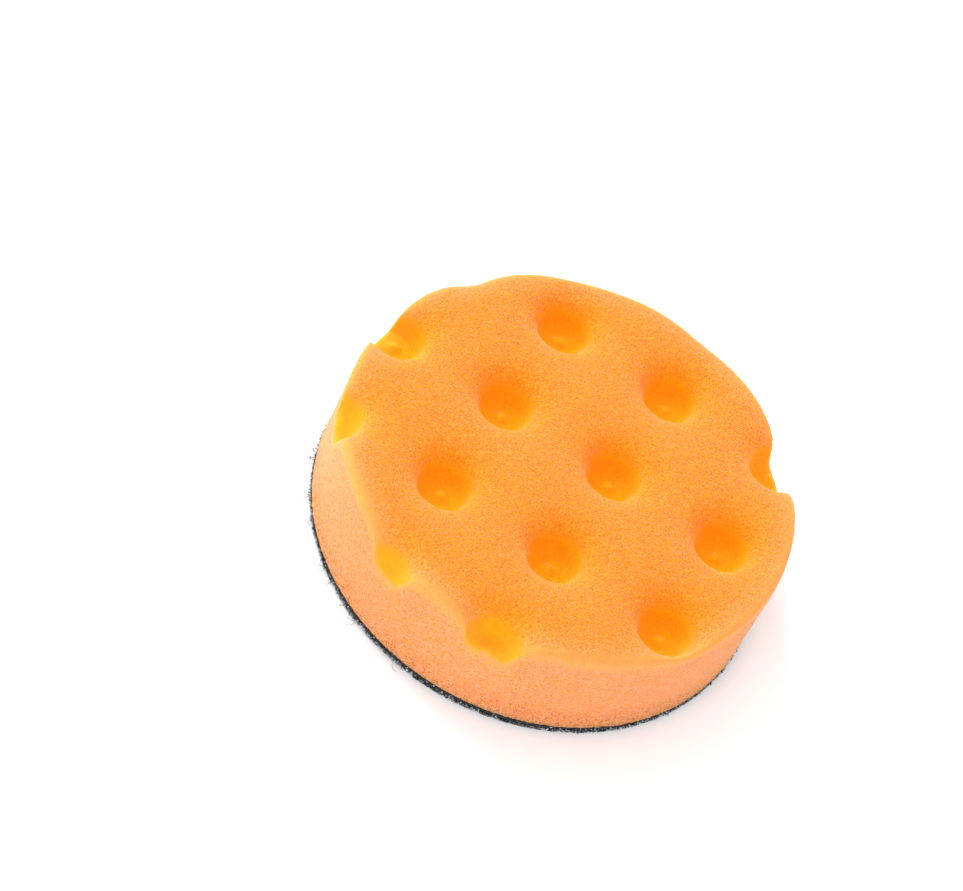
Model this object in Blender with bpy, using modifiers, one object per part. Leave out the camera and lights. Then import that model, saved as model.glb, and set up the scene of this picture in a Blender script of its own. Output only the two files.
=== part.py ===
"""Round foam polishing pad with a loop fabric back, lying on its back with the working face up.

Metres, +Z out of the working face. The origin is the centre of the back's outer face.
Run with: blender --background --python part.py
"""

import math

import bpy

# Overall sizes
PAD_DIAMETER = 0.0800
FOAM_HEIGHT = 0.0200
RIM_ROUND = 0.0010

# Backing, from the outside in
PILE_HEIGHT = 0.0008
CLOTH_THICKNESS = 0.0004
FILM_THICKNESS = 0.0001
FILM_SETBACK = 0.0004
LAYER_GAP = 0.0003

# Square pattern of moulded pits, with one pit at the offset from the pad's axis
PIT_PITCH = 0.0218
PATTERN_OFFSET = (0.0068, 0.0040)

# One pit: a gentle funnel, a steep-walled well inside it, and a low nub in the well's floor
FUNNEL_RADIUS = 0.0064  # where the funnel is at half its depth
FUNNEL_DEPTH = 0.0018
FUNNEL_STEEPNESS = 6
WELL_RADIUS = 0.0046
WELL_DEPTH = 0.0038
WELL_STEEPNESS = 11
NUB_RADIUS = 0.0018
NUB_HEIGHT = 0.0007
MOUTH_START = 1.35  # the modelled funnel begins this many funnel radii out
MOUTH_FLARE = 0.0005
CUTTER_STAND = 0.0006  # how far a cutter stands above the face

# Facets
RIM_STEPS = 96
ROUND_STEPS = 4
PIT_STEPS = 24
WALL_RINGS = 10
NUB_RINGS = 3

PAD_RADIUS = PAD_DIAMETER / 2
CLOTH_BASE = PILE_HEIGHT + LAYER_GAP
FILM_BASE = CLOTH_BASE + CLOTH_THICKNESS + LAYER_GAP
FOAM_BASE = FILM_BASE + FILM_THICKNESS + LAYER_GAP
FACE_HEIGHT = FOAM_BASE + FOAM_HEIGHT


def clear_scene():
    for obj in list(bpy.data.objects):
        bpy.data.objects.remove(obj, do_unlink=True)


def new_collection(name):
    collection = bpy.data.collections.new(name)
    bpy.context.scene.collection.children.link(collection)
    return collection


def make_material(name, colour, roughness):
    material = bpy.data.materials.new(name)
    material.use_nodes = True
    shader = material.node_tree.nodes["Principled BSDF"]
    shader.inputs["Base Color"].default_value = (*colour, 1.0)
    shader.inputs["Roughness"].default_value = roughness
    shader.inputs["Metallic"].default_value = 0.0
    return material


def move_to(obj, collection):
    for old in list(obj.users_collection):
        old.objects.unlink(obj)
    collection.objects.link(obj)


def turned(name, profile, steps, collection):
    """A closed body turned about Z from a profile of (radius, height), outer side top to bottom."""
    mesh = bpy.data.meshes.new(name)
    points = [(radius, 0.0, height) for radius, height in profile]
    mesh.from_pydata(points, [(i, i + 1) for i in range(len(points) - 1)], [])
    obj = bpy.data.objects.new(name, mesh)
    collection.objects.link(obj)
    screw = obj.modifiers.new("Turn", "SCREW")
    screw.steps = screw.render_steps = steps
    screw.use_merge_vertices = True
    screw.merge_threshold = 0.00001
    screw.use_smooth_shade = False
    return obj


def disc(name, radius, base, height, collection):
    bpy.ops.mesh.primitive_cylinder_add(
        vertices=RIM_STEPS, radius=radius, depth=height, location=(0.0, 0.0, base + height / 2)
    )
    obj = bpy.context.active_object
    obj.name = obj.data.name = name
    obj.data.shade_smooth()
    obj.data.set_sharp_from_angle(angle=math.radians(40))
    move_to(obj, collection)
    return obj


def bell(radius, middle, depth, steepness):
    """A round dent's depth: flat in the middle, half as deep at its middle radius, then dying away."""
    return depth / (1 + (radius / middle) ** steepness)


def pit_depth(radius):
    """Depth below the face at this distance from the pit's axis."""
    funnel = bell(radius, FUNNEL_RADIUS, FUNNEL_DEPTH, FUNNEL_STEEPNESS)
    well = bell(radius, WELL_RADIUS, WELL_DEPTH, WELL_STEEPNESS)
    if radius >= NUB_RADIUS:
        return funnel + well
    return funnel + well - NUB_HEIGHT * (1 + math.cos(math.pi * radius / NUB_RADIUS)) / 2


def pit_profile():
    """The cutter's profile, from the axis above the face, out, and down the pit to the nub."""
    mouth = MOUTH_START * FUNNEL_RADIUS
    profile = [(0.0, CUTTER_STAND), (mouth + MOUTH_FLARE, CUTTER_STAND)]
    for ring in range(WALL_RINGS):
        radius = mouth + (NUB_RADIUS - mouth) * ring / WALL_RINGS
        profile.append((radius, -pit_depth(radius)))
    for ring in range(NUB_RINGS + 1):
        radius = NUB_RADIUS * (1 - ring / NUB_RINGS)
        profile.append((radius, -pit_depth(radius)))
    return profile


def pit_sites():
    """Centres of the pattern's pits that reach the pad, as cut from a larger moulded sheet."""
    reach = PAD_RADIUS + FUNNEL_RADIUS
    most = math.ceil(reach / PIT_PITCH) + 1
    for row in range(-most, most + 1):
        for column in range(-most, most + 1):
            x = PATTERN_OFFSET[0] + column * PIT_PITCH
            y = PATTERN_OFFSET[1] + row * PIT_PITCH
            if math.hypot(x, y) < reach:
                yield x, y


def make_pit_cutters(collection):
    pattern = turned("pit_cutter", pit_profile(), PIT_STEPS, collection)
    sites = list(pit_sites())
    cutters = [pattern] + [pattern.copy() for _ in sites[1:]]
    for cutter, (x, y) in zip(cutters, sites):
        if cutter is not pattern:
            collection.objects.link(cutter)
        cutter.location = (x, y, FACE_HEIGHT)
        cutter.hide_render = True
        cutter.display_type = "WIRE"


def make_foam_body(parts, cutters):
    """The foam block: flat face, rounded rim, straight cut side, and the pits pressed in its face."""
    profile = [(0.0, FACE_HEIGHT)]
    for step in range(ROUND_STEPS + 1):
        turn = math.radians(90) * step / ROUND_STEPS
        radius = PAD_RADIUS - RIM_ROUND + RIM_ROUND * math.sin(turn)
        profile.append((radius, FACE_HEIGHT - RIM_ROUND + RIM_ROUND * math.cos(turn)))
    profile += [(PAD_RADIUS, FOAM_BASE), (0.0, FOAM_BASE)]
    foam = turned("foam_body", profile, RIM_STEPS, parts)
    make_pit_cutters(cutters)
    pits = foam.modifiers.new("Pits", "BOOLEAN")
    pits.operation = "DIFFERENCE"
    pits.solver = "EXACT"
    pits.operand_type = "COLLECTION"
    pits.collection = cutters
    foam.data.materials.append(make_material("orange_foam", (0.95, 0.36, 0.06), 0.9))


def make_glue_film(parts):
    """The adhesive film between foam and cloth, stopping just short of the cut edge."""
    film = disc("glue_film", PAD_RADIUS - FILM_SETBACK, FILM_BASE, FILM_THICKNESS, parts)
    film.data.materials.append(make_material("clear_glue", (0.30, 0.29, 0.26), 0.45))


def make_ground_cloth(parts):
    """The knitted ground of the loop fabric."""
    cloth = disc("ground_cloth", PAD_RADIUS, CLOTH_BASE, CLOTH_THICKNESS, parts)
    cloth.data.materials.append(make_material("black_knit", (0.02, 0.02, 0.022), 0.85))


def make_loop_pile(parts):
    """The brushed pile that a hook-faced backing plate grips, as the layer that it fills."""
    pile = disc("loop_pile", PAD_RADIUS, 0.0, PILE_HEIGHT, parts)
    pile.data.materials.append(make_material("black_pile", (0.012, 0.012, 0.013), 0.95))


def main():
    clear_scene()
    parts = new_collection("polishing_pad")
    cutters = new_collection("cutters")
    make_foam_body(parts, cutters)
    make_glue_film(parts)
    make_ground_cloth(parts)
    make_loop_pile(parts)


main()
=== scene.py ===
"""Looks of a round foam polishing pad with a loop fabric back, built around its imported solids.

The pad lies on its back with the working face up. Metres, +Z out of the working face, and the
origin in the middle of the back's outer face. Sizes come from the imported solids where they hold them.
"""

import math
import random

import bpy
import numpy as np
from bpy.props import FloatProperty, FloatVectorProperty, IntProperty, PointerProperty
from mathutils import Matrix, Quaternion, Vector


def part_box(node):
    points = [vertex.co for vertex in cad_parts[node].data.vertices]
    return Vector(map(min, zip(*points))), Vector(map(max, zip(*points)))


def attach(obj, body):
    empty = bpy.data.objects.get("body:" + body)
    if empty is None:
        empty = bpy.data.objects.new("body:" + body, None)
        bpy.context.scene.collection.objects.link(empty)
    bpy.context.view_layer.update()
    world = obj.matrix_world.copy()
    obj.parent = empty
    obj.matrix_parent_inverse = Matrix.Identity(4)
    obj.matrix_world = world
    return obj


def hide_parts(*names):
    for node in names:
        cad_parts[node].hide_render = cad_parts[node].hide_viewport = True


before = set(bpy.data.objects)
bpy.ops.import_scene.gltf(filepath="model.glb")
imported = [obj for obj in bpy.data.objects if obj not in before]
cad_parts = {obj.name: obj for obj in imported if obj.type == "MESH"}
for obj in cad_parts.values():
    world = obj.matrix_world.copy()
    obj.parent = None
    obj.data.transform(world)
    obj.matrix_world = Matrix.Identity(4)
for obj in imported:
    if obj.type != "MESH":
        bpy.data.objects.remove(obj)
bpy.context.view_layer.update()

bl_info = {
    "name": "Foam polishing pad",
    "version": (1, 0, 0),
    "blender": (4, 5, 0),
    "location": "View3D > Sidebar > Pad",
    "description": "Builds a round foam polishing pad with its loop fabric back and a plain stage",
    "category": "Add Mesh",
}

FOAM_LOW, FOAM_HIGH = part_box("foam_body")
PAD_RADIUS = FOAM_HIGH.x
FOAM_BASE = FOAM_LOW.z
FACE_HEIGHT = FOAM_HIGH.z
FILM_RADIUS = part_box("glue_film")[1].x
CLOTH_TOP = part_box("ground_cloth")[1].z
PILE_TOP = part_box("loop_pile")[1].z


# Properties


def length(name, default, description):
    return FloatProperty(
        name=name, description=description, default=default, min=0.0, unit="LENGTH", precision=5
    )


def number(name, default, description):
    return FloatProperty(name=name, description=description, default=default, min=0.0)


def count(name, default, description):
    return IntProperty(name=name, description=description, default=default, min=0)


def turn(name, degrees, description):
    return FloatProperty(
        name=name, description=description, default=math.radians(degrees), subtype="ANGLE"
    )


def colour(name, default, description):
    return FloatVectorProperty(
        name=name, description=description, default=default, size=3, min=0.0, max=1.0, subtype="COLOR"
    )


def place(name, default, description, size=3):
    return FloatVectorProperty(
        name=name, description=description, default=default, size=size, subtype="XYZ", unit="LENGTH"
    )


class FoamSettings(bpy.types.PropertyGroup):
    """Sizes and colours of the foam block and the pits moulded in its face."""

    pit_pitch: length("Pit pitch", 0.0218, "Distance between neighbouring pits")
    pattern_offset: place("Pattern offset", (0.0068, 0.0040, 0.0), "One pit's centre, from the axis")
    funnel_radius: length("Funnel radius", 0.0064, "Where a pit's gentle funnel is at half its depth")
    funnel_depth: length("Funnel depth", 0.0018, "Depth of the gentle funnel")
    funnel_steepness: number("Funnel steepness", 6.0, "Power that the funnel's depth falls off with")
    well_radius: length("Well radius", 0.0046, "Where the steep well is at half its depth")
    well_depth: length("Well depth", 0.0038, "Depth of the well below the funnel")
    well_steepness: number("Well steepness", 11.0, "Power that the well's depth falls off with")
    nub_radius: length("Nub radius", 0.0018, "Radius of the nub in the middle of a pit's floor")
    nub_height: length("Nub height", 0.0007, "Height of that nub")
    rim_round: length("Rim round", 0.0013, "Radius of the soft edge between face and cut side")
    cell_size: length("Cell size", 0.00046, "Width of the foam's cells")
    cell_relief: length("Cell relief", 0.00010, "How far the cells stand and sink at the surface")
    land_dome: length("Land dome", 0.0008, "How far the land between the pits domes")
    swell_size: length("Swell size", 0.011, "Width of the face's gentle swells")
    swell_height: length("Swell height", 0.00028, "Height of those swells")
    face_steps: count("Face steps", 160, "Steps from the axis to the rim in the face's mesh")
    side_steps: count("Side steps", 84, "Steps down the cut side")
    face_colour: colour("Face colour", (0.96, 0.262, 0.023), "The moulded face between the pits")
    # Painted shade: the deeper orange that light bouncing on the slopes into the pits gives
    funnel_shade_colour: colour("Funnel colour", (0.97, 0.288, 0.006), "The face where it slopes into a pit")
    # The pits' colours are partly the denser pressed foam and partly painted light: lighter and deeper
    # orange, as light bounced inside them gives
    pit_wall_colour: colour("Pit wall colour", (0.97, 0.310, 0.001), "The steep walls of the pits")
    pit_floor_colour: colour("Pit floor colour", (0.97, 0.332, 0.003), "The denser foam in their floors")
    # Painted light: the pale glow and highlight of light through the thin, rounded rim
    rim_glow_colour: colour("Rim colour", (0.96, 0.314, 0.074), "The thin foam along the rim")
    side_colour: colour("Side colour", (0.95, 0.298, 0.088), "The cut side")


class BackingSettings(bpy.types.PropertyGroup):
    """Sizes and colours of the glue film and the knitted ground cloth."""

    film_ripple: length("Film ripple", 0.00012, "How unevenly the film ends at its edge")
    ripple_width: length("Ripple width", 0.0025, "Width of those ripples")
    knit_pitch: length("Knit pitch", 0.0007, "Distance between the knit's ribs")
    cloth_relief: length("Cloth relief", 0.00008, "Height of the ground cloth's unevenness")
    film_colour: colour("Film colour", (0.30, 0.29, 0.26), "The clear glue over dark cloth")
    knit_colour: colour("Knit colour", (0.016, 0.016, 0.018), "The ground cloth")


class PileSettings(bpy.types.PropertyGroup):
    """Sizes, numbers and colours of the loops, the fuzz at the cut edge and the loose fibres."""

    nap_direction: turn("Nap direction", 35.0, "The way the pile is brushed")
    nap_spread: turn("Nap spread", 38.0, "How far single loops turn from it")
    loop_length: length("Loop length", 0.0022, "Length of a loop, root to root")
    loop_height: length("Loop height", 0.00042, "How far a loop stands out")
    yarn_radius: length("Yarn radius", 0.00008, "Radius of the pile's yarn")
    loops: count("Loops", 7400, "Number of loops on the back")
    fuzz: count("Edge fibres", 9000, "Number of fibres that stick out of the cut edge")
    fuzz_length: length("Edge fibre length", 0.00020, "Usual length of those fibres")
    # The cut ends' paleness is a painted glint
    cut_ends: count("Cut ends", 760, "Pale cut yarn ends, as if they filled the edge's whole height")
    cut_end_size: length("Cut end size", 0.00012, "Radius of a cut yarn end")
    strays: count("Stray fibres", 11, "Number of curled fibres pulled out of the edge")
    stray_radius: length("Stray radius", 0.000022, "Thickness of a stray fibre, as a radius")
    pile_colour: colour("Pile colour", (0.010, 0.010, 0.011), "The pile's dark yarn")
    # Painted highlight: the pale colour that stands for light glinting off the cut yarn ends
    glint_colour: colour("Cut end colour", (0.70, 0.76, 0.80), "The glinting cut ends")


class StageSettings(bpy.types.PropertyGroup):
    """The floor, the lights and the camera."""

    floor_colour: colour("Floor colour", (0.93, 0.94, 0.96), "The plain pale floor")
    floor_radius: length("Floor radius", 4.0, "Radius of the floor")
    sky_strength: number("Sky strength", 1.16, "Light from all round")
    key_place: place("Key place", (-0.98, 0.53, 0.78), "Middle of the large soft lamp")
    lamp_size: length("Lamp size", 0.70, "Side of each soft lamp")
    key_power: number("Key power", 14.5, "Power of the large soft lamp, in watts")
    fill_place: place("Fill place", (-0.30, -1.20, 0.38), "Middle of the weaker lamp in front")
    fill_power: number("Fill power", 5.5, "Power of the weaker lamp, in watts")
    eye_place: place("Camera place", (0.0396, -0.3929, 0.4788), "Where the camera stands")
    eye_azimuth: turn("Camera azimuth", 7.92, "Turn of the camera's view round the pad")
    eye_elevation: turn("Camera elevation", 49.65, "How steeply the camera looks down")
    eye_roll: turn("Camera roll", 27.25, "Turn of the picture about the line of sight")
    eye_lens: number("Lens", 134.6, "Focal length in millimetres, on a 36 mm wide sensor")


# Numbers in node trees


class Number:
    """A node's output that plain arithmetic works on: each step adds one Math node to its tree."""

    def __init__(self, socket):
        self.socket = socket

    def __add__(self, other):
        return calculated("ADD", self, other)

    def __radd__(self, other):
        return calculated("ADD", other, self)

    def __sub__(self, other):
        return calculated("SUBTRACT", self, other)

    def __rsub__(self, other):
        return calculated("SUBTRACT", other, self)

    def __mul__(self, other):
        return calculated("MULTIPLY", self, other)

    def __rmul__(self, other):
        return calculated("MULTIPLY", other, self)

    def __truediv__(self, other):
        return calculated("DIVIDE", self, other)

    def __rtruediv__(self, other):
        return calculated("DIVIDE", other, self)

    def __pow__(self, other):
        return calculated("POWER", self, other)


def put(value, socket):
    """Links a Number or an output to an input, or sets a plain value on it."""
    if isinstance(value, Number):
        value = value.socket
    if isinstance(value, bpy.types.NodeSocket):
        socket.id_data.links.new(value, socket)
    else:
        socket.default_value = value


def add_node(tree, kind, inputs=None, **options):
    """A new node with these options and with these inputs, by name or by position, linked or set."""
    node = tree.nodes.new(kind)
    for name, value in options.items():
        setattr(node, name, value)
    for name, value in (inputs or {}).items():
        put(value, node.inputs[name])
    return node


def calculated(operation, *values):
    """What a Math node makes of these Numbers and plain numbers."""
    tree = next(value.socket.id_data for value in values if isinstance(value, Number))
    node = add_node(tree, "ShaderNodeMath", dict(enumerate(values)), operation=operation)
    return Number(node.outputs[0])


def eased(value, low, high, to_low=0.0, to_high=1.0):
    """Runs smoothly from to_low at low to to_high at high, and stays there outside."""
    names = ("Value", "From Min", "From Max", "To Min", "To Max")
    inputs = dict(zip(names, (value, low, high, to_low, to_high)))
    node = add_node(
        value.socket.id_data, "ShaderNodeMapRange", inputs, interpolation_type="SMOOTHSTEP"
    )
    return Number(node.outputs["Result"])


def split(tree, vector):
    parts = add_node(tree, "ShaderNodeSeparateXYZ", {"Vector": vector})
    return [Number(output) for output in parts.outputs]


def joined(tree, x, y, z):
    return add_node(tree, "ShaderNodeCombineXYZ", {"X": x, "Y": y, "Z": z}).outputs["Vector"]


def from_axis(x, y):
    """Distance from an upright axis, from the distances along X and Y."""
    return calculated("SQRT", x * x + y * y)


def scaled(tree, vector, factor):
    """A colour or a vector times a number."""
    node = add_node(tree, "ShaderNodeVectorMath", {0: vector}, operation="SCALE")
    put(factor, node.inputs["Scale"])
    return node.outputs[0]


def noise(tree, vector, scale, detail):
    """Smooth noise about 0 to 1, with scale swells to the metre."""
    inputs = {"Vector": vector, "Scale": scale, "Detail": detail}
    return Number(add_node(tree, "ShaderNodeTexNoise", inputs).outputs[0])


def cells(tree, vector, scale, feature="F1"):
    """Distance from the middle or the edge of random cells, scale of them to the metre."""
    inputs = {"Vector": vector, "Scale": scale}
    node = add_node(tree, "ShaderNodeTexVoronoi", inputs, feature=feature)
    return Number(node.outputs["Distance"])


def mixed(tree, amount, first, second, blend="MIX"):
    """One colour over another by an amount from 0 to 1. A colour is an output or three numbers."""
    node = add_node(tree, "ShaderNodeMix", data_type="RGBA", blend_type=blend)
    put(amount, node.inputs[0])
    for value, slot in ((first, node.inputs[6]), (second, node.inputs[7])):
        put(value if isinstance(value, bpy.types.NodeSocket) else (*value, 1.0), slot)
    return node.outputs[2]


def new_tree(name, kind, inputs, outputs):
    """A node group with named sockets: name to (type, default), or to a type for an output."""
    tree = bpy.data.node_groups.new(name, kind)
    for label, (socket_type, default) in inputs.items():
        socket = tree.interface.new_socket(label, in_out="INPUT", socket_type=socket_type)
        if default is not None:
            socket.default_value = default
    for label, socket_type in outputs.items():
        tree.interface.new_socket(label, in_out="OUTPUT", socket_type=socket_type)
    given = tree.nodes.new("NodeGroupInput").outputs
    made = tree.nodes.new("NodeGroupOutput").inputs
    return tree, given, made


# Meshes


def unit_disc(steps):
    """Even points and faces over a disc of radius 1, and its rim's point numbers, counter-clockwise."""
    line = np.linspace(-1.0, 1.0, 2 * steps + 1)
    across, along = np.meshgrid(line, line)
    wide = np.abs(across) >= np.abs(along)
    long, short = np.where(wide, across, along), np.where(wide, along, across)
    angle = math.pi / 4 * np.divide(short, long, out=np.zeros_like(long), where=long != 0)
    x = long * np.where(wide, np.cos(angle), np.sin(angle))
    y = long * np.where(wide, np.sin(angle), np.cos(angle))
    index = np.arange(x.size).reshape(x.shape)
    faces = np.stack([index[:-1, :-1], index[:-1, 1:], index[1:, 1:], index[1:, :-1]], axis=-1)
    rim = np.concatenate([index[0, :-1], index[:-1, -1], index[-1, :0:-1], index[:0:-1, 0]])
    return np.stack([x.ravel(), y.ravel()], axis=-1), faces.reshape(-1, 4), rim


def round_body(name, side, face_steps, back_steps):
    """A closed round mesh: a face, rings of (radius, height) down its side, and a back.

    The back may be coarser than the face, by a whole number of times.
    """
    disc, quads, rim = unit_disc(face_steps)
    radius, height = side[0]
    points = [np.column_stack([disc * radius, np.full(len(disc), height)])]
    faces = quads.tolist()
    ring, total = rim, len(disc)
    for radius, height in side[1:]:
        points.append(np.column_stack([disc[rim] * radius, np.full(len(rim), height)]))
        lower = total + np.arange(len(rim))
        faces += np.stack([ring, lower, np.roll(lower, -1), np.roll(ring, -1)], axis=-1).tolist()
        ring, total = lower, total + len(rim)
    back, quads, back_rim = unit_disc(back_steps)
    inner = radius - PAD_RADIUS / back_steps
    points.append(np.column_stack([back * inner, np.full(len(back), height)]))
    faces += (quads[:, ::-1] + total).tolist()
    group = face_steps // back_steps
    for step in range(len(back_rim)):
        outer = [int(ring[(step * group + i) % len(ring)]) for i in range(group, -1, -1)]
        ends = [int(back_rim[step]) + total, int(back_rim[(step + 1) % len(back_rim)]) + total]
        faces.append(ends + outer)
    mesh = bpy.data.meshes.new(name)
    mesh.from_pydata(np.concatenate(points).tolist(), [], faces)
    mesh.shade_smooth()
    return placed(name, mesh)


def placed(name, content):
    """A new object in the scene, at the origin."""
    obj = bpy.data.objects.new(name, content)
    bpy.context.scene.collection.objects.link(obj)
    return obj


def grow(obj, tree, sizes):
    """Runs the tree on the object with these named sizes and keeps the result as its plain mesh."""
    modifier = obj.modifiers.new(tree.name, "NODES")
    modifier.node_group = tree
    for item in tree.interface.items_tree:
        if item.in_out == "INPUT" and item.name in sizes:
            modifier[item.identifier] = sizes[item.name]
    graph = bpy.context.evaluated_depsgraph_get()
    mesh = bpy.data.meshes.new_from_object(
        obj.evaluated_get(graph), preserve_all_data_layers=True, depsgraph=graph
    )
    obj.modifiers.remove(modifier)
    blank, obj.data = obj.data, mesh
    bpy.data.meshes.remove(blank)
    mesh.name = obj.name


def finish_tree(tree, geometry, material, made):
    """Ends a tree: real geometry and not instances, with its material."""
    real = add_node(tree, "GeometryNodeRealizeInstances", {"Geometry": geometry})
    painted = add_node(tree, "GeometryNodeSetMaterial", {"Geometry": real.outputs[0]})
    painted.inputs["Material"].default_value = material
    put(painted.outputs[0], made["Geometry"])


def settle(obj, node=None):
    """The piece moves with the pad, and may stand for a solid."""
    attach(obj, "root")
    if node:
        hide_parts(node)


# Shader groups


def mottle_group():
    """Slow unevenness in tone, as in dye or dust: a value about 1."""
    name = "mottle"
    if name in bpy.data.node_groups:
        return bpy.data.node_groups[name]
    inputs = {
        "Vector": ("NodeSocketVector", None),
        "Size": ("NodeSocketFloat", 0.01),
        "Strength": ("NodeSocketFloat", 0.1),
    }
    tree, given, made = new_tree(name, "ShaderNodeTree", inputs, {"Tone": "NodeSocketFloat"})
    swell = noise(tree, given["Vector"], 1 / Number(given["Size"]), detail=3.0)
    put(1 + (swell - 0.5) * 2 * Number(given["Strength"]), made["Tone"])
    return tree


def cell_group():
    """Open foam cells: a mask that is 1 inside a pore, the struts' height, and a fine grain, 0 to 1."""
    name = "open cells"
    if name in bpy.data.node_groups:
        return bpy.data.node_groups[name]
    inputs = {"Vector": ("NodeSocketVector", None), "Size": ("NodeSocketFloat", 0.0005)}
    outputs = {"Pore": "NodeSocketFloat", "Height": "NodeSocketFloat", "Grain": "NodeSocketFloat"}
    tree, given, made = new_tree(name, "ShaderNodeTree", inputs, outputs)
    scale = 1 / Number(given["Size"])
    grain = noise(tree, given["Vector"], scale * 1.25, detail=2.0)
    coarse = noise(tree, given["Vector"], scale * 0.7, detail=1.0)
    hollow = eased(cells(tree, given["Vector"], scale, "DISTANCE_TO_EDGE"), 0.05, 0.34)
    put(hollow * eased(coarse, 0.38, 0.62), made["Pore"])
    put(grain * 0.6 - hollow, made["Height"])
    put(eased(grain, 0.34, 0.66), made["Grain"])
    return tree


def lint_group():
    """Fine streaks along a brushed or knitted yarn: a tone about 1 and a height."""
    name = "lint"
    if name in bpy.data.node_groups:
        return bpy.data.node_groups[name]
    inputs = {
        "Vector": ("NodeSocketVector", None),
        "Turn": ("NodeSocketFloat", 0.0),
        "Width": ("NodeSocketFloat", 0.0002),
        "Stretch": ("NodeSocketFloat", 6.0),
    }
    outputs = {"Tone": "NodeSocketFloat", "Height": "NodeSocketFloat"}
    tree, given, made = new_tree(name, "ShaderNodeTree", inputs, outputs)
    turned = add_node(
        tree,
        "ShaderNodeVectorRotate",
        {"Vector": given["Vector"], "Angle": given["Turn"]},
        rotation_type="Z_AXIS",
    )
    x, y, z = split(tree, turned.outputs[0])
    scale = 1 / Number(given["Width"])
    where = joined(tree, x * scale / Number(given["Stretch"]), y * scale, z * scale)
    streak = noise(tree, where, scale=1.0, detail=2.0)
    put(0.6 + streak * 0.8, made["Tone"])
    put(streak, made["Height"])
    return tree


def new_material(name):
    """A material with nodes: its tree, its Principled shader and Object coordinates."""
    material = bpy.data.materials.new(name)
    material.use_nodes = True
    tree = material.node_tree
    where = add_node(tree, "ShaderNodeTexCoord").outputs["Object"]
    return material, tree, tree.nodes["Principled BSDF"], where


def grouped(tree, group, **inputs):
    """A shader group placed in a tree, with its inputs linked or set."""
    node = add_node(tree, "ShaderNodeGroup", node_tree=group)
    for name, value in inputs.items():
        put(value, node.inputs[name])
    return node.outputs


def attribute(tree, name):
    """A value that the mesh brings along, in a material."""
    return Number(add_node(tree, "ShaderNodeAttribute", attribute_name=name).outputs["Fac"])


def bump(tree, shader, height, distance, strength):
    """Roughens the look of a surface by a height that reaches this far at 1."""
    inputs = {"Height": height, "Distance": distance, "Strength": strength}
    put(add_node(tree, "ShaderNodeBump", inputs).outputs["Normal"], shader.inputs["Normal"])


# Materials


# What the foam's colour is multiplied by
CELL_SHADE = (0.99, 0.84, 0.45)
CELL_LIGHT = (1.01, 1.15, 1.60)
PORE_SHADE = (0.84, 0.66, 0.45)
TORN_SHADE = (0.60, 0.38, 0.32)

# Where the foam's finish changes, each from one place to the other, in metres
# RIM_GLOWS: where the face pales with the painted glow of light through its thin rim
RIM_GLOWS = (PAD_RADIUS - 0.006, PAD_RADIUS + 0.0004)  # out from the axis
RIM_SMOOTHS = (PAD_RADIUS - 0.0022, PAD_RADIUS - 0.0006)
SIDE_BEGINS = (0.0005, 0.0010)  # down from the rim
SIDE_IS_CUT = (0.0012, 0.0036)
SIDE_FRAYS = (0.010, 0.002)  # up from the floor
SIDE_IS_TORN = (0.0075, 0.0020)
BORDER_WAVE = 0.002  # width of the waves in the border between face and side
BORDER_SHIFT = 0.0004

# How strongly each change shows, as a share
FUNNEL_SHADE_SHOWS = 0.6
PIT_OVER_RIM = 0.85
SMOOTH_IN_PITS = 0.8
SMOOTH_AT_RIM = 0.75
ROUGH_AT_FOOT = 0.8
PORES_SHOW = 0.5


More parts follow.
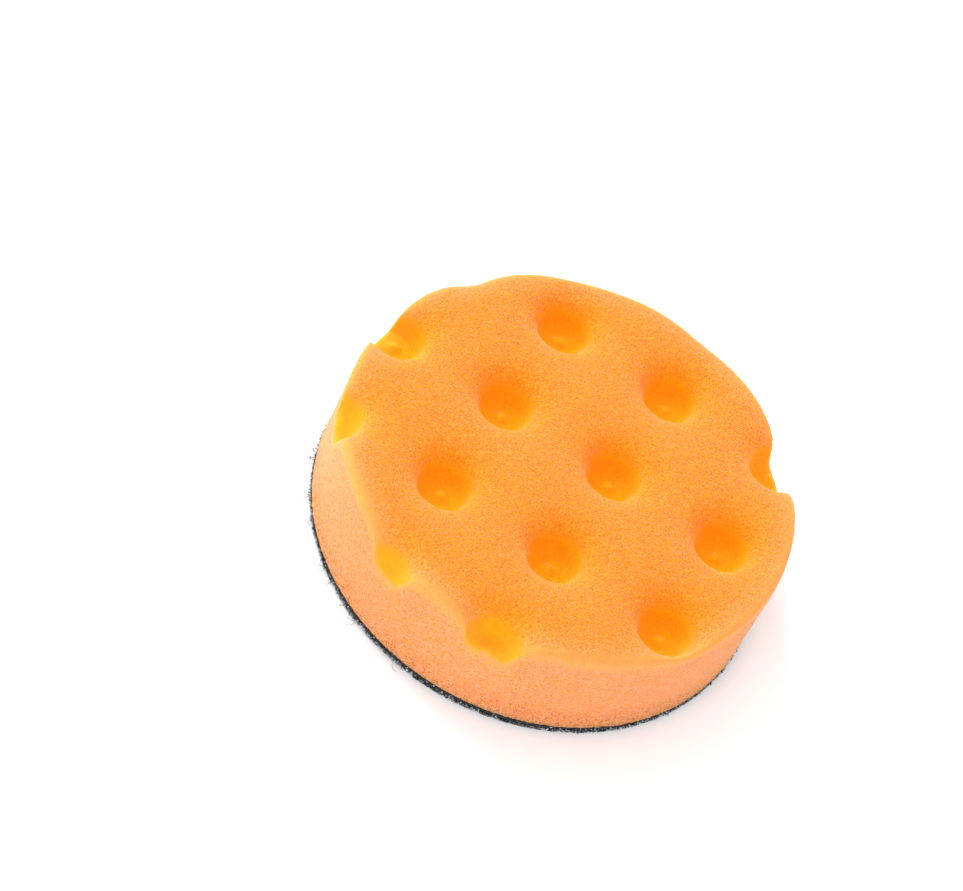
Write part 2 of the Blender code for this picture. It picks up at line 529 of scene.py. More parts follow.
def foam_material(foam):
    """Orange open-cell foam: a moulded face, denser in the pits, over a paler cut side. The pits and the
    slopes into them also take painted bounce light and shade, and the rim a painted glow.
    """
    material, tree, shader, where = new_material("orange_foam")
    grain = grouped(tree, cell_group(), Vector=where, Size=foam.cell_size)
    mottle = grouped(tree, mottle_group(), Vector=where, Size=foam.swell_size, Strength=0.05)
    x, y, height = split(tree, where)
    radius = from_axis(x, y)

    depth = attribute(tree, "pit_depth")
    deepest = foam.funnel_depth + foam.well_depth
    # Painted shade on the slopes into the pits: the deeper orange of bounced light
    funnel_shade = eased(depth, foam.land_dome * 0.7, foam.funnel_depth, 0.0, FUNNEL_SHADE_SHOWS)
    in_pit = eased(depth, foam.funnel_depth * 0.95, foam.funnel_depth + foam.well_depth * 0.6)
    on_floor = eased(depth, deepest - foam.nub_height * 1.6, deepest)
    # Painted glow along the rim, held back in the pits
    painted_rim_glow = eased(radius, *RIM_GLOWS) * (1 - in_pit * PIT_OVER_RIM)
    face = mixed(tree, funnel_shade, foam.face_colour, foam.funnel_shade_colour)
    # Partly the denser foam of the pits, partly painted bounce light inside them
    face = mixed(tree, in_pit, face, foam.pit_wall_colour)
    face = mixed(tree, on_floor, face, foam.pit_floor_colour)
    face = mixed(tree, painted_rim_glow, face, foam.rim_glow_colour)

    wave = noise(tree, where, 1 / BORDER_WAVE, detail=2.0)
    below = attribute(tree, "below_rim") + wave * BORDER_SHIFT
    # The top of the side keeps the painted rim highlight, then turns to the cut side's own colour
    cut = eased(below, *SIDE_IS_CUT)
    side = mixed(tree, cut, foam.rim_glow_colour, foam.side_colour)
    on_side = eased(below, *SIDE_BEGINS)
    skin = mixed(tree, on_side, face, side)

    at_rim = eased(radius, *RIM_SMOOTHS) * (1 - cut)
    frayed = eased(height, *SIDE_FRAYS) * cut
    clear = (1 - in_pit * (1 - on_side) * SMOOTH_IN_PITS) * (1 - at_rim * SMOOTH_AT_RIM)
    clear = clear * (1 + frayed * ROUGH_AT_FOOT)
    shade = 0.5 + (Number(grain["Grain"]) - 0.5) * clear
    pores = Number(grain["Pore"]) * clear * PORES_SHOW
    torn = Number(grain["Pore"]) * eased(height, *SIDE_IS_TORN) * cut
    skin = mixed(tree, 1.0, skin, mixed(tree, shade, CELL_SHADE, CELL_LIGHT), "MULTIPLY")
    skin = mixed(tree, pores, skin, PORE_SHADE, "MULTIPLY")
    skin = mixed(tree, torn, skin, TORN_SHADE, "MULTIPLY")
    put(scaled(tree, skin, mottle["Tone"]), shader.inputs["Base Color"])
    put(0.95 - shade * 0.12, shader.inputs["Roughness"])
    shader.inputs["Specular IOR Level"].default_value = 0.12
    shader.inputs["Subsurface Weight"].default_value = 0.45
    shader.inputs["Subsurface Radius"].default_value = (1.0, 0.5, 0.15)
    shader.inputs["Subsurface Scale"].default_value = 0.003
    shader.inputs["Sheen Weight"].default_value = 0.5
    shader.inputs["Sheen Roughness"].default_value = 0.3
    shader.inputs["Sheen Tint"].default_value = (1.0, 0.86, 0.72, 1.0)
    bump(tree, shader, Number(grain["Height"]) * clear, distance=foam.cell_size / 2, strength=0.8)
    return material


def film_material(backing):
    """Clear hot-melt glue with dark cloth behind it, faintly streaked."""
    material, tree, shader, where = new_material("glue_film")
    mottle = grouped(tree, mottle_group(), Vector=where, Size=0.004, Strength=0.25)
    put(scaled(tree, backing.film_colour, mottle["Tone"]), shader.inputs["Base Color"])
    put(0.30 + Number(mottle["Tone"]) * 0.15, shader.inputs["Roughness"])
    bump(tree, shader, mottle["Tone"], distance=0.0001, strength=0.4)
    return material


def knit_material(backing):
    """Black warp knit: fine ribs with yarn streaks along them."""
    material, tree, shader, where = new_material("black_knit")
    lint = grouped(tree, lint_group(), Vector=where, Width=backing.knit_pitch / 4, Stretch=3.0)
    x, _, _ = split(tree, where)
    rib = calculated("SINE", x * (2 * math.pi / backing.knit_pitch))
    put(scaled(tree, backing.knit_colour, Number(lint["Tone"]) + rib * 0.2), shader.inputs["Base Color"])
    put(0.78 + Number(lint["Height"]) * 0.2, shader.inputs["Roughness"])
    shader.inputs["Specular IOR Level"].default_value = 0.2
    shader.inputs["Sheen Weight"].default_value = 0.15
    bump(tree, shader, rib * 0.5 + Number(lint["Height"]), distance=0.0001, strength=0.7)
    return material


def pile_material(pile):
    """Black polyester pile: streaked along the nap, with a painted glint on some yarn ends."""
    material, tree, shader, where = new_material("black_pile")
    lint = grouped(
        tree, lint_group(), Vector=where, Turn=-pile.nap_direction, Width=0.00022, Stretch=7.0
    )
    dust = grouped(tree, mottle_group(), Vector=where, Size=0.006, Strength=0.35)
    tone = attribute(tree, "yarn_tone")
    dark = scaled(tree, pile.pile_colour, Number(lint["Tone"]) * Number(dust["Tone"]) + tone * 1.6)
    # Painted glint: the highest tones take the pale glint colour and less roughness
    glint = eased(tone, 0.90, 0.97)
    put(mixed(tree, glint, dark, pile.glint_colour), shader.inputs["Base Color"])
    put(0.85 - glint * 0.35, shader.inputs["Roughness"])
    shader.inputs["Specular IOR Level"].default_value = 0.2
    shader.inputs["Sheen Weight"].default_value = 0.08
    bump(tree, shader, lint["Height"], distance=0.0001, strength=0.6)
    return material


def floor_material(stage):
    """Plain pale matte floor with the faintest unevenness."""
    material, tree, shader, where = new_material("pale_floor")
    mottle = grouped(tree, mottle_group(), Vector=where, Size=0.4, Strength=0.01)
    put(scaled(tree, stage.floor_colour, mottle["Tone"]), shader.inputs["Base Color"])
    shader.inputs["Roughness"].default_value = 0.9
    shader.inputs["Specular IOR Level"].default_value = 0.1
    return material


# Geometry trees


GEOMETRY_OUT = {"Geometry": "NodeSocketGeometry"}


def bell(radius, middle, depth, steepness):
    """A round dent's depth: flat in the middle, half as deep at its middle radius, then dying away."""
    return depth / (1 + (radius / middle) ** steepness)


def stored(tree, geometry, name, value, domain="POINT"):
    """Keeps a value on the geometry, for a later step or for its material."""
    inputs = {"Geometry": geometry, "Name": name, "Value": value}
    return add_node(tree, "GeometryNodeStoreNamedAttribute", inputs, domain=domain).outputs[0]


def moved(tree, geometry, **where):
    """The geometry with its points at a Position, or moved by an Offset."""
    return add_node(tree, "GeometryNodeSetPosition", {"Geometry": geometry, **where}).outputs[0]


# Where the foam's relief changes, each from one place to the other, in metres
PIT_CALMS = (0.0012, 0.0045)  # down from the face
RIM_CALMS = (PAD_RADIUS - 0.0030, PAD_RADIUS - 0.0008)  # out from the axis
RIM_CALMS_UP = (FACE_HEIGHT - 0.0030, FACE_HEIGHT - 0.0010)  # up from the floor
FOOT_ROUGHENS = (0.009, 0.003)
FOOT_FRAYS = (0.003, 0.0018)

# How far up the surface has to face, as the height of its unit normal
SWELLS_FACING = (0.2, 0.9)
ROUGH_FACING = (-0.9, -0.3)

# The relief's parts, in shares of its height
CELL_MIDDLE = 0.45  # the usual distance from a cell's middle, in cell widths
CELL_SHARE = 1.2
GRAIN_SHARE = 1.6
PIT_RELIEF_LOSS = 0.8
RIM_RELIEF_LOSS = 0.7
FOOT_ROUGHER = 1.2
FOOT_FRAYED = 1.5


def foam_tree(material, sizes):
    """Presses the pit pattern into a flat-faced block, then raises its swells and its cells."""
    inputs = {"Geometry": ("NodeSocketGeometry", None)}
    inputs.update({name: ("NodeSocketFloat", value) for name, value in sizes.items()})
    tree, given, made = new_tree("moulded_foam", "GeometryNodeTree", inputs, GEOMETRY_OUT)
    size = {name: Number(given[name]) for name in sizes}
    spot = add_node(tree, "GeometryNodeInputPosition").outputs[0]
    x, y, z = split(tree, spot)
    half = size["Pitch"] / 2
    to_pit = [
        calculated("WRAP", value - size[offset], half, 0 - half)
        for value, offset in ((x, "Offset X"), (y, "Offset Y"))
    ]
    radius = from_axis(*to_pit)
    funnel = bell(radius, size["Funnel Radius"], size["Funnel Depth"], size["Funnel Steepness"])
    well = bell(radius, size["Well Radius"], size["Well Depth"], size["Well Steepness"])
    reach = calculated("MINIMUM", radius / size["Nub Radius"], 1.0)
    nub = size["Nub Height"] * (1 + calculated("COSINE", reach * math.pi)) / 2
    waves = [calculated("COSINE", value * 2 * math.pi / size["Pitch"]) for value in to_pit]
    dome = (waves[0] + waves[1] + 2) * size["Land Dome"] / 4
    depth = funnel + well - nub + dome
    above_base = calculated("GREATER_THAN", z, FOAM_BASE)
    height = FOAM_BASE + (z - FOAM_BASE) * (1 - depth * above_base / (FACE_HEIGHT - FOAM_BASE))
    kept = stored(tree, given["Geometry"], "pit_depth", depth)
    kept = stored(tree, kept, "below_rim", FACE_HEIGHT - depth - height)
    pressed = moved(tree, kept, Position=joined(tree, x, y, height))

    named = add_node(tree, "GeometryNodeInputNamedAttribute", {"Name": "pit_depth"}, data_type="FLOAT")
    in_pit = eased(Number(named.outputs[0]), *PIT_CALMS)
    outward = add_node(tree, "GeometryNodeInputNormal").outputs[0]
    _, _, up = split(tree, outward)
    cell = cells(tree, spot, 1 / size["Cell Size"])
    fine = noise(tree, spot, 1.3 / size["Cell Size"], detail=1.0)
    relief = (cell - CELL_MIDDLE) * CELL_SHARE + (fine - 0.5) * GRAIN_SHARE
    swell = noise(tree, spot, 1 / size["Swell Size"], detail=1.0)
    at_rim = eased(from_axis(x, y), *RIM_CALMS) * eased(z, *RIM_CALMS_UP)
    frayed = eased(z, *FOOT_ROUGHENS) * FOOT_ROUGHER + eased(z, *FOOT_FRAYS) * FOOT_FRAYED
    rise = relief * size["Cell Relief"] * (1 - in_pit * PIT_RELIEF_LOSS)
    rise = rise * (1 - at_rim * RIM_RELIEF_LOSS) * (1 + frayed)
    rise = rise + (swell - 0.5) * size["Swell Height"] * eased(up, *SWELLS_FACING)
    rise = rise * eased(up, *ROUGH_FACING)
    raised = moved(tree, pressed, Offset=scaled(tree, outward, rise))
    finish_tree(tree, raised, material, made)
    return tree


def uneven_tree(name, material):
    """Gives a flat round layer a slightly wavy edge and uneven faces."""
    inputs = {
        "Geometry": ("NodeSocketGeometry", None),
        "Size": ("NodeSocketFloat", 0.001),
        "Relief": ("NodeSocketFloat", 0.0001),
    }
    tree, given, made = new_tree(name, "GeometryNodeTree", inputs, GEOMETRY_OUT)
    spot = add_node(tree, "GeometryNodeInputPosition").outputs[0]
    outward = add_node(tree, "GeometryNodeInputNormal").outputs[0]
    swell = noise(tree, spot, 1 / Number(given["Size"]), detail=2.0)
    rise = (swell - 0.5) * 2 * Number(given["Relief"])
    uneven = moved(tree, given["Geometry"], Offset=scaled(tree, outward, rise))
    finish_tree(tree, uneven, material, made)
    return tree


FLOOR_CLEARANCE = 0.00002
LOOP_STAND_OUT = 0.00005
FIBRE_STAND_OUT = 0.0009
UNDERSIDE = -0.6  # the unit normal's height below which a face counts as the mat's underside
LOOP_TILT = 0.25  # radians, to either side
LOOP_SIZES = (0.65, 1.35)
LOOP_TONES = (0.0, 0.9)
FIBRE_SIZE = 0.6  # of the given length, for most
FIBRE_RARITY = 8  # the higher, the fewer are longer
PILE_INPUTS = {
    "Geometry": ("NodeSocketGeometry", None),
    "Density": ("NodeSocketFloat", 1000.0),
    "Length": ("NodeSocketFloat", 0.001),
    "Height": ("NodeSocketFloat", 0.001),
    "Radius": ("NodeSocketFloat", 0.0001),
    "Direction": ("NodeSocketFloat", 0.0),
    "Spread": ("NodeSocketFloat", 0.5),
    "Seed": ("NodeSocketInt", 1),
}


def strand(tree, start, middle, end, radius, segments, sides):
    """A bent strand of yarn as a mesh, from its three guide points."""
    inputs = {"Resolution": segments, "Start": start, "Middle": middle, "End": end}
    line = add_node(tree, "GeometryNodeCurveQuadraticBezier", inputs).outputs[0]
    inputs = {"Resolution": sides, "Radius": radius}
    section = add_node(tree, "GeometryNodeCurvePrimitiveCircle", inputs).outputs[0]
    inputs = {"Curve": line, "Profile Curve": section, "Fill Caps": True}
    return add_node(tree, "GeometryNodeCurveToMesh", inputs).outputs[0]


def random_number(tree, low, high, seed, offset):
    """A number for each point. The offset keeps one use of a seed apart from the others."""
    node = add_node(tree, "FunctionNodeRandomValue", data_type="FLOAT")
    for name, value in (("Min", low), ("Max", high)):
        slot = next(s for s in node.inputs if s.name == name and s.enabled)
        put(value, slot)
    put(seed + offset, node.inputs["Seed"])
    return Number(next(s for s in node.outputs if s.enabled))


def scattered(tree, given, strands, turned, size, tone, chosen=True, upright=True):
    """Strands on random points of a surface, each turned by its own rotation and with its own tone; the
    highest tones give the painted glint.

    An upright strand is turned from the surface's normal there, and the others from straight up.
    """
    inputs = {"Mesh": given["Geometry"], "Density": given["Density"], "Seed": given["Seed"]}
    inputs["Selection"] = chosen
    points = add_node(tree, "GeometryNodeDistributePointsOnFaces", inputs).outputs
    if upright:
        inputs = {"Rotation": points["Rotation"], "Rotate By": turned}
        node = add_node(tree, "FunctionNodeRotateRotation", inputs, rotation_space="LOCAL")
        turned = node.outputs[0]
    inputs = {"Points": points["Points"], "Instance": strands, "Rotation": turned, "Scale": size}
    spread_out = add_node(tree, "GeometryNodeInstanceOnPoints", inputs).outputs[0]
    return stored(tree, spread_out, "yarn_tone", tone, "INSTANCE")


def trimmed(tree, geometry, stand_out):
    """Presses in what would reach below the floor or stand out of the cut edge by more than this."""
    real = add_node(tree, "GeometryNodeRealizeInstances", {"Geometry": geometry}).outputs[0]
    x, y, z = split(tree, add_node(tree, "GeometryNodeInputPosition").outputs[0])
    within = calculated("MINIMUM", (PAD_RADIUS + stand_out) / from_axis(x, y), 1.0)
    above_floor = calculated("MAXIMUM", z, FLOOR_CLEARANCE)
    return moved(tree, real, Position=joined(tree, x * within, y * within, above_floor))


def loop_tree(material):
    """Brushed loops hanging from the underside of their mat, which stays in the result."""
    tree, given, made = new_tree("brushed_loops", "GeometryNodeTree", PILE_INPUTS, GEOMETRY_OUT)
    reach, height, seed = Number(given["Length"]), Number(given["Height"]), Number(given["Seed"])
    loop = strand(
        tree,
        joined(tree, 0.0, 0.0, height * -0.2),
        joined(tree, reach * 0.45, 0.0, height * 2.0),
        joined(tree, reach, 0.0, height * -0.2),
        given["Radius"],
        segments=4,
        sides=3,
    )
    _, _, up = split(tree, add_node(tree, "GeometryNodeInputNormal").outputs[0])
    under = calculated("LESS_THAN", up, UNDERSIDE)
    spread = Number(given["Spread"])
    turn_by = random_number(tree, 0 - spread, spread, seed, 3) - Number(given["Direction"])
    tilt = random_number(tree, -LOOP_TILT, LOOP_TILT, seed, 4)
    hanging = joined(tree, tilt + math.pi, 0.0, turn_by)
    turned = add_node(tree, "FunctionNodeEulerToRotation", {"Euler": hanging}).outputs[0]
    size = random_number(tree, *LOOP_SIZES, seed, 5)
    tone = random_number(tree, *LOOP_TONES, seed, 6)
    loops = scattered(tree, given, loop, turned, size, tone, chosen=under, upright=False)
    both = add_node(tree, "GeometryNodeJoinGeometry")
    put(given["Geometry"], both.inputs[0])
    put(trimmed(tree, loops, LOOP_STAND_OUT), both.inputs[0])
    finish_tree(tree, both.outputs[0], material, made)
    return tree


def fuzz_tree(name, material, tones, longest, sides):
    """Bent fibres standing out of a cut edge, a few of them much longer, without that edge."""
    tree, given, made = new_tree(name, "GeometryNodeTree", PILE_INPUTS, GEOMETRY_OUT)
    reach, height, seed = Number(given["Length"]), Number(given["Height"]), Number(given["Seed"])
    fibre = strand(
        tree,
        joined(tree, 0.0, 0.0, reach * -0.4),
        joined(tree, 0.0, 0.0, reach * 0.6),
        joined(tree, height, 0.0, reach * 0.8),
        given["Radius"],
        segments=3,
        sides=sides,
    )
    spread = Number(given["Spread"])
    bends = [random_number(tree, 0 - spread, spread, seed, offset) for offset in (3, 4)]
    angles = joined(tree, *bends, random_number(tree, 0.0, 2 * math.pi, seed, 5))
    turned = add_node(tree, "FunctionNodeEulerToRotation", {"Euler": angles}).outputs[0]
    size = FIBRE_SIZE + random_number(tree, 0.0, 1.0, seed, 6) ** FIBRE_RARITY * longest
    fibres = scattered(tree, given, fibre, turned, size, random_number(tree, *tones, seed, 7))
    finish_tree(tree, trimmed(tree, fibres, FIBRE_STAND_OUT), material, made)
    return tree


# Pieces


ROUND_STEPS = 4
BACK_COARSENESS = 4  # steps of the foam's face to one of its back
LAYER_CLEARANCE = 0.0001
FILM_CLEARANCE = 0.0002
EDGE_ROUND = 0.0001
PAD_AREA = math.pi * PAD_RADIUS**2


def make_foam(foam):
    """The foam block, with its pits, rounded rim and open cells, and a skirt down past the film."""
    side = []
    for step in range(ROUND_STEPS + 1):
        angle = math.pi / 2 * step / ROUND_STEPS
        radius = PAD_RADIUS - foam.rim_round * (1 - math.sin(angle))
        side.append((radius, FACE_HEIGHT - foam.rim_round * (1 - math.cos(angle))))
    rim, skirt = FACE_HEIGHT - foam.rim_round, CLOTH_TOP + LAYER_CLEARANCE
    side += [
        (PAD_RADIUS, rim - (rim - skirt) * step / foam.side_steps)
        for step in range(1, foam.side_steps + 1)
    ]
    side += [(FILM_RADIUS + FILM_CLEARANCE, skirt), (FILM_RADIUS + LAYER_CLEARANCE, FOAM_BASE)]
    block = round_body("foam_block", side, foam.face_steps, foam.face_steps // BACK_COARSENESS)
    sizes = {
        "Pitch": foam.pit_pitch,
        "Offset X": foam.pattern_offset[0],
        "Offset Y": foam.pattern_offset[1],
        "Funnel Radius": foam.funnel_radius,
        "Funnel Depth": foam.funnel_depth,
        "Funnel Steepness": foam.funnel_steepness,
        "Well Radius": foam.well_radius,
        "Well Depth": foam.well_depth,
        "Well Steepness": foam.well_steepness,
        "Nub Radius": foam.nub_radius,
        "Nub Height": foam.nub_height,
        "Land Dome": foam.land_dome,
        "Cell Size": foam.cell_size,
        "Cell Relief": foam.cell_relief,
        "Swell Size": foam.swell_size,
        "Swell Height": foam.swell_height,
    }
    grow(block, foam_tree(foam_material(foam), sizes), sizes)
    settle(block, "foam_body")


def make_film(backing):
    """The glue film, with the slightly wavy edge that it sets with."""
    side = [(FILM_RADIUS, FOAM_BASE), (FILM_RADIUS, CLOTH_TOP)]
    film = round_body("glue_layer", side, face_steps=48, back_steps=24)
    sizes = {"Size": backing.ripple_width, "Relief": backing.film_ripple}
    grow(film, uneven_tree("wavy_film", film_material(backing)), sizes)
    settle(film, "glue_film")


def make_cloth(backing):
    """The knitted ground of the loop fabric, cut flush with the foam."""
    low, high = PILE_TOP + LAYER_CLEARANCE, CLOTH_TOP
    edge = PAD_RADIUS - EDGE_ROUND
    side = [(edge, high), (PAD_RADIUS, (low + high) / 2), (edge, low)]
    cloth = round_body("ground_knit", side, face_steps=80, back_steps=40)
    sizes = {"Size": backing.knit_pitch * 1.5, "Relief": backing.cloth_relief}
    grow(cloth, uneven_tree("uneven_knit", knit_material(backing)), sizes)
    settle(cloth, "ground_cloth")


BAND_STEPS = 192
BAND_INSET = 0.00005


def edge_band(name, low, high):
    """An open strip round the pad's cut edge, which only fibres grow from."""
    angles = [2 * math.pi * step / BAND_STEPS for step in range(BAND_STEPS)]
    radius = PAD_RADIUS - BAND_INSET
    points = [(radius * math.cos(a), radius * math.sin(a), z) for z in (low, high) for a in angles]
    faces = []
    for first in range(BAND_STEPS):
        second = (first + 1) % BAND_STEPS
        faces.append((first, second, BAND_STEPS + second, BAND_STEPS + first))
    mesh = bpy.data.meshes.new(name)
    mesh.from_pydata(points, [], faces)
    return placed(name, mesh)


def make_fringe(name, low, high, tree, sizes):
    """Fibres that stand out of the cut edge between two heights."""
    fringe = edge_band(name, low, high)
    grow(fringe, tree, sizes)
    settle(fringe)


# The mat that the loops hang from: its underside, as a share of the pile's height, and its edge
MAT_FOOT = 0.45
MAT_ROUND = 0.0002
MAT_UNDERCUT = 0.0004

# The fringe round the cut edge
FRINGE_FOOT = 0.0002
FRINGE_OVER_CLOTH = 0.0003
END_FOOT = 0.0004
END_BELOW_CLOTH = 0.0002
END_LENGTH = 2.8  # in radii
FUZZ_THINNESS = 0.37  # of the loops' yarn
# The fuzz tones over 0.9 take the painted glint
FUZZ_TONES = (0.0, 0.93)
# Every cut end takes the painted glint
GLINT_TONES = (0.90, 1.0)

LOOP_SEED = 11
FUZZ_SEED = 23
END_SEED = 31
STRAY_SEED = 5


def make_pile(pile):
    """The mat of brushed loops on the back, and what sticks out of its cut edge."""
    material = pile_material(pile)
    top, low = PILE_TOP + LAYER_CLEARANCE, PILE_TOP * MAT_FOOT
    edge = PAD_RADIUS - EDGE_ROUND
    side = [(PAD_RADIUS - MAT_ROUND, top), (edge, low + MAT_ROUND), (PAD_RADIUS - MAT_UNDERCUT, low)]
    mat = round_body("loop_mat", side, face_steps=48, back_steps=48)
    sizes = {
        "Density": pile.loops / PAD_AREA,
        "Length": pile.loop_length,
        "Height": pile.loop_height,
        "Radius": pile.yarn_radius,
        "Direction": pile.nap_direction,
        "Spread": pile.nap_spread,
        "Seed": LOOP_SEED,
    }
    grow(mat, loop_tree(material), sizes)
    settle(mat, "loop_pile")

    low, high = FRINGE_FOOT, CLOTH_TOP + FRINGE_OVER_CLOTH
    band = 2 * math.pi * PAD_RADIUS * (high - low)
    tree = fuzz_tree("edge_fibres", material, FUZZ_TONES, longest=2.2, sides=3)
    sizes = {
        "Density": pile.fuzz / band,
        "Length": pile.fuzz_length,
        "Height": pile.fuzz_length * 0.5,
        "Radius": pile.yarn_radius * FUZZ_THINNESS,
        "Spread": 0.8,
        "Seed": FUZZ_SEED,
    }
    make_fringe("edge_fuzz", low, high, tree, sizes)

    tree = fuzz_tree("cut_ends", material, GLINT_TONES, longest=0.6, sides=6)
    sizes = {
        "Density": pile.cut_ends / band,
        "Length": pile.cut_end_size * END_LENGTH,
        "Height": pile.cut_end_size,
        "Radius": pile.cut_end_size,
        "Spread": 0.7,
        "Seed": END_SEED,
    }
    make_fringe("cut_yarn_ends", END_FOOT, CLOTH_TOP - END_BELOW_CLOTH, tree, sizes)


STRAY_STEPS = 24
STRAY_MIDDLE = -135  # degrees round the pad, at its near left
STRAY_SPREAD = 22
CURL_RADIUS = (0.0003, 0.0008)
CURL_TURNS = (0.5, 1.3)
STRAY_ROOT = 0.0003  # inside the cut edge
STRAY_REACH = (0.0009, 0.0011)
ROOT_REACH = 0.0004
ROOT_HEIGHT = 0.0010
END_HEIGHT = 0.00006


def stray_points(chance, angle):
    """A curled fibre from the cut edge at this angle round the pad, out over the floor."""
    outward = Vector((math.cos(angle), math.sin(angle), 0.0))
    along = Vector((-math.sin(angle), math.cos(angle), 0.0))
    radius = chance.uniform(*CURL_RADIUS)
    turns = chance.uniform(*CURL_TURNS)
    side = chance.choice((-1, 1))
    start = outward * (PAD_RADIUS - STRAY_ROOT)
    points = []
    for step in range(STRAY_STEPS + 1):
        part = step / STRAY_STEPS
        bend = side * 2 * math.pi * turns * part
        out = ROOT_REACH + radius * math.sin(abs(bend)) + part * chance.uniform(*STRAY_REACH)
        across = side * radius * (1 - math.cos(bend))
        height = ROOT_HEIGHT * (1 - part) ** 2 + END_HEIGHT
        points.append(start + outward * out + along * across + Vector((0.0, 0.0, height)))
    return points


def make_strays(pile):
    """A few curled fibres that the cut pulled out of the edge."""
    chance = random.Random(STRAY_SEED)
    line = bpy.data.curves.new("stray_fibres", "CURVE")
    line.dimensions = "3D"
    line.bevel_depth = pile.stray_radius
    line.bevel_resolution = 1
    line.use_fill_caps = True
    for _ in range(pile.strays):
        points = stray_points(chance, math.radians(chance.gauss(STRAY_MIDDLE, STRAY_SPREAD)))
        spline = line.splines.new("POLY")
        spline.points.add(len(points) - 1)
        for slot, point in zip(spline.points, points):
            slot.co = (*point, 1.0)
    drawn = placed("stray_line", line)
    graph = bpy.context.evaluated_depsgraph_get()
    mesh = bpy.data.meshes.new_from_object(drawn.evaluated_get(graph), depsgraph=graph)
    bpy.data.objects.remove(drawn)
    mesh.shade_smooth()
    mesh.materials.clear()
    mesh.materials.append(bpy.data.materials["black_pile"])
    settle(placed("stray_fibres", mesh))


def soft_lamp(name, where, size, power):
    """A square soft lamp that faces the pad."""
    lamp = bpy.data.lights.new(name, "AREA")
    lamp.shape = "SQUARE"
    lamp.size = size
    lamp.energy = power
    obj = placed(name, lamp)
    obj.location = where
    obj.rotation_mode = "QUATERNION"
    obj.rotation_quaternion = (-Vector(where)).to_track_quat("-Z", "Y")


def make_stage(stage):
    """The floor, the soft light and the camera."""
    bpy.ops.mesh.primitive_circle_add(vertices=64, radius=stage.floor_radius, fill_type="NGON")
    floor = bpy.context.active_object
    floor.name = "floor"
    floor.data.materials.append(floor_material(stage))

    scene = bpy.context.scene
    scene.view_settings.view_transform = "Standard"
    world = bpy.data.worlds.new("soft_sky")
    world.use_nodes = True
    sky = world.node_tree.nodes["Background"]
    sky.inputs["Color"].default_value = (1.0, 1.0, 1.0, 1.0)
    sky.inputs["Strength"].default_value = stage.sky_strength
    scene.world = world

    soft_lamp("key_lamp", stage.key_place, stage.lamp_size, stage.key_power)
    soft_lamp("fill_lamp", stage.fill_place, stage.lamp_size, stage.fill_power)

    lens = bpy.data.cameras.new("camera")
    lens.lens = stage.eye_lens
    eye = placed("camera", lens)
    eye.location = stage.eye_place
    flat, rise = math.cos(stage.eye_elevation), math.sin(stage.eye_elevation)
    ahead = Vector(
        (-math.sin(stage.eye_azimuth) * flat, math.cos(stage.eye_azimuth) * flat, -rise)
    )
    eye.rotation_mode = "QUATERNION"
    level = ahead.to_track_quat("-Z", "Y")
    eye.rotation_quaternion = level @ Quaternion((0.0, 0.0, 1.0), stage.eye_roll)
    scene.camera = eye


# Operators


class PAD_OT_foam(bpy.types.Operator):
    """Make the foam block with its moulded pits"""

    bl_idname = "pad.foam"
    bl_label = "Foam block"
    bl_options = {"REGISTER", "UNDO"}

    def execute(self, context):
        make_foam(context.scene.pad_foam)
        return {"FINISHED"}


class PAD_OT_film(bpy.types.Operator):
    """Make the glue film under the foam"""

    bl_idname = "pad.film"
    bl_label = "Glue film"
    bl_options = {"REGISTER", "UNDO"}

    def execute(self, context):
        make_film(context.scene.pad_backing)
        return {"FINISHED"}


class PAD_OT_pile(bpy.types.Operator):
    """Make the brushed loop pile and the fuzz of its cut edge"""

    bl_idname = "pad.pile"
    bl_label = "Loop pile"
    bl_options = {"REGISTER", "UNDO"}

    def execute(self, context):
        make_pile(context.scene.pad_pile)
        return {"FINISHED"}


class PAD_OT_cloth(bpy.types.Operator):
    """Make the knitted ground cloth"""

    bl_idname = "pad.cloth"
    bl_label = "Ground cloth"
    bl_options = {"REGISTER", "UNDO"}

    def execute(self, context):
        make_cloth(context.scene.pad_backing)
        return {"FINISHED"}


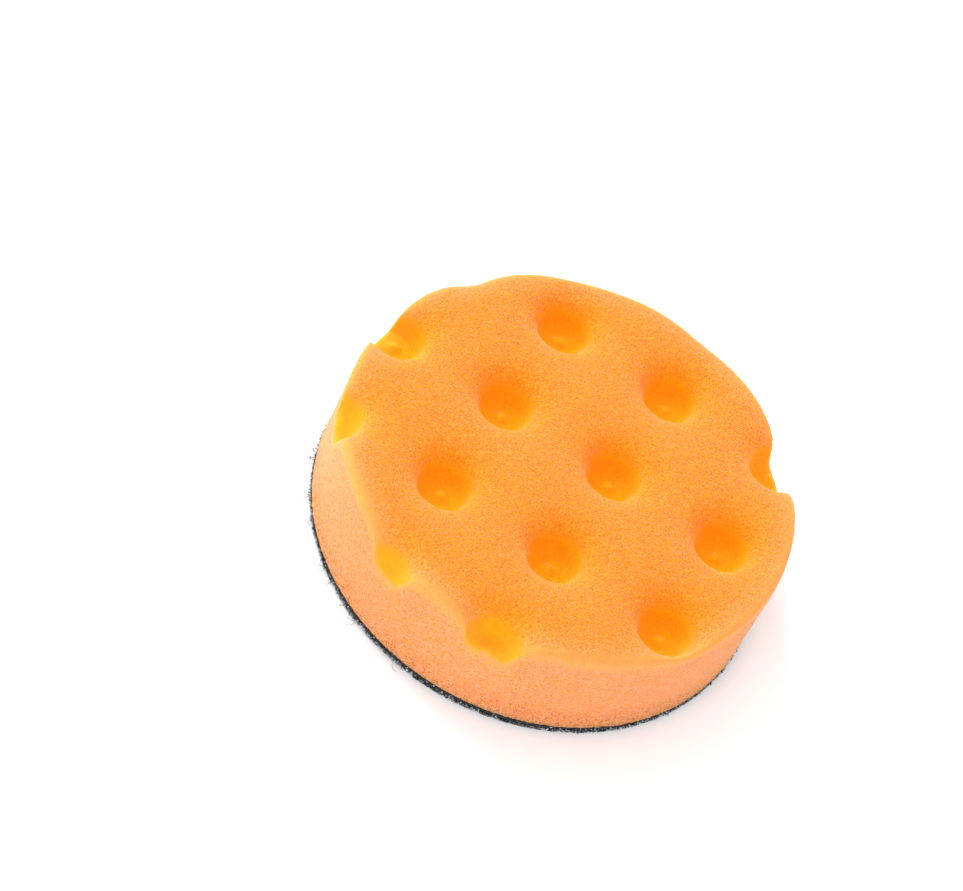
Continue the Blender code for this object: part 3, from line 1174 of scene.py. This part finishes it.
class PAD_OT_strays(bpy.types.Operator):
    """Make the stray fibres at the cut edge"""

    bl_idname = "pad.strays"
    bl_label = "Stray fibres"
    bl_options = {"REGISTER", "UNDO"}

    def execute(self, context):
        make_strays(context.scene.pad_pile)
        return {"FINISHED"}


class PAD_OT_stage(bpy.types.Operator):
    """Make the floor, the lights and the camera"""

    bl_idname = "pad.stage"
    bl_label = "Stage"
    bl_options = {"REGISTER", "UNDO"}

    def execute(self, context):
        make_stage(context.scene.pad_stage)
        return {"FINISHED"}


class PAD_PT_panel(bpy.types.Panel):
    """The pad's pieces and their sizes"""

    bl_idname = "PAD_PT_panel"
    bl_label = "Polishing pad"
    bl_space_type = "VIEW_3D"
    bl_region_type = "UI"
    bl_category = "Pad"

    def draw(self, context):
        for operators, settings in PANEL_ROWS:
            box = self.layout.box()
            for operator in operators:
                box.operator(operator.bl_idname)
            group = getattr(context.scene, settings)
            for name in type(group).__annotations__:
                box.prop(group, name)


SETTINGS = {
    "pad_foam": FoamSettings,
    "pad_backing": BackingSettings,
    "pad_pile": PileSettings,
    "pad_stage": StageSettings,
}
PANEL_ROWS = (
    ((PAD_OT_foam,), "pad_foam"),
    ((PAD_OT_film, PAD_OT_cloth), "pad_backing"),
    ((PAD_OT_pile, PAD_OT_strays), "pad_pile"),
    ((PAD_OT_stage,), "pad_stage"),
)
OPERATORS = (PAD_OT_stage, PAD_OT_foam, PAD_OT_film, PAD_OT_pile, PAD_OT_cloth, PAD_OT_strays)


def register():
    for kind in (*SETTINGS.values(), *OPERATORS, PAD_PT_panel):
        bpy.utils.register_class(kind)
    for name, kind in SETTINGS.items():
        setattr(bpy.types.Scene, name, PointerProperty(type=kind))


def unregister():
    for name in SETTINGS:
        delattr(bpy.types.Scene, name)
    for kind in reversed((*SETTINGS.values(), *OPERATORS, PAD_PT_panel)):
        bpy.utils.unregister_class(kind)


def main():
    register()
    bpy.ops.pad.stage()
    bpy.ops.pad.foam()
    bpy.ops.pad.film()
    bpy.ops.pad.pile()
    bpy.ops.pad.cloth()
    bpy.ops.pad.strays()


if __name__ == "__main__":
    main()
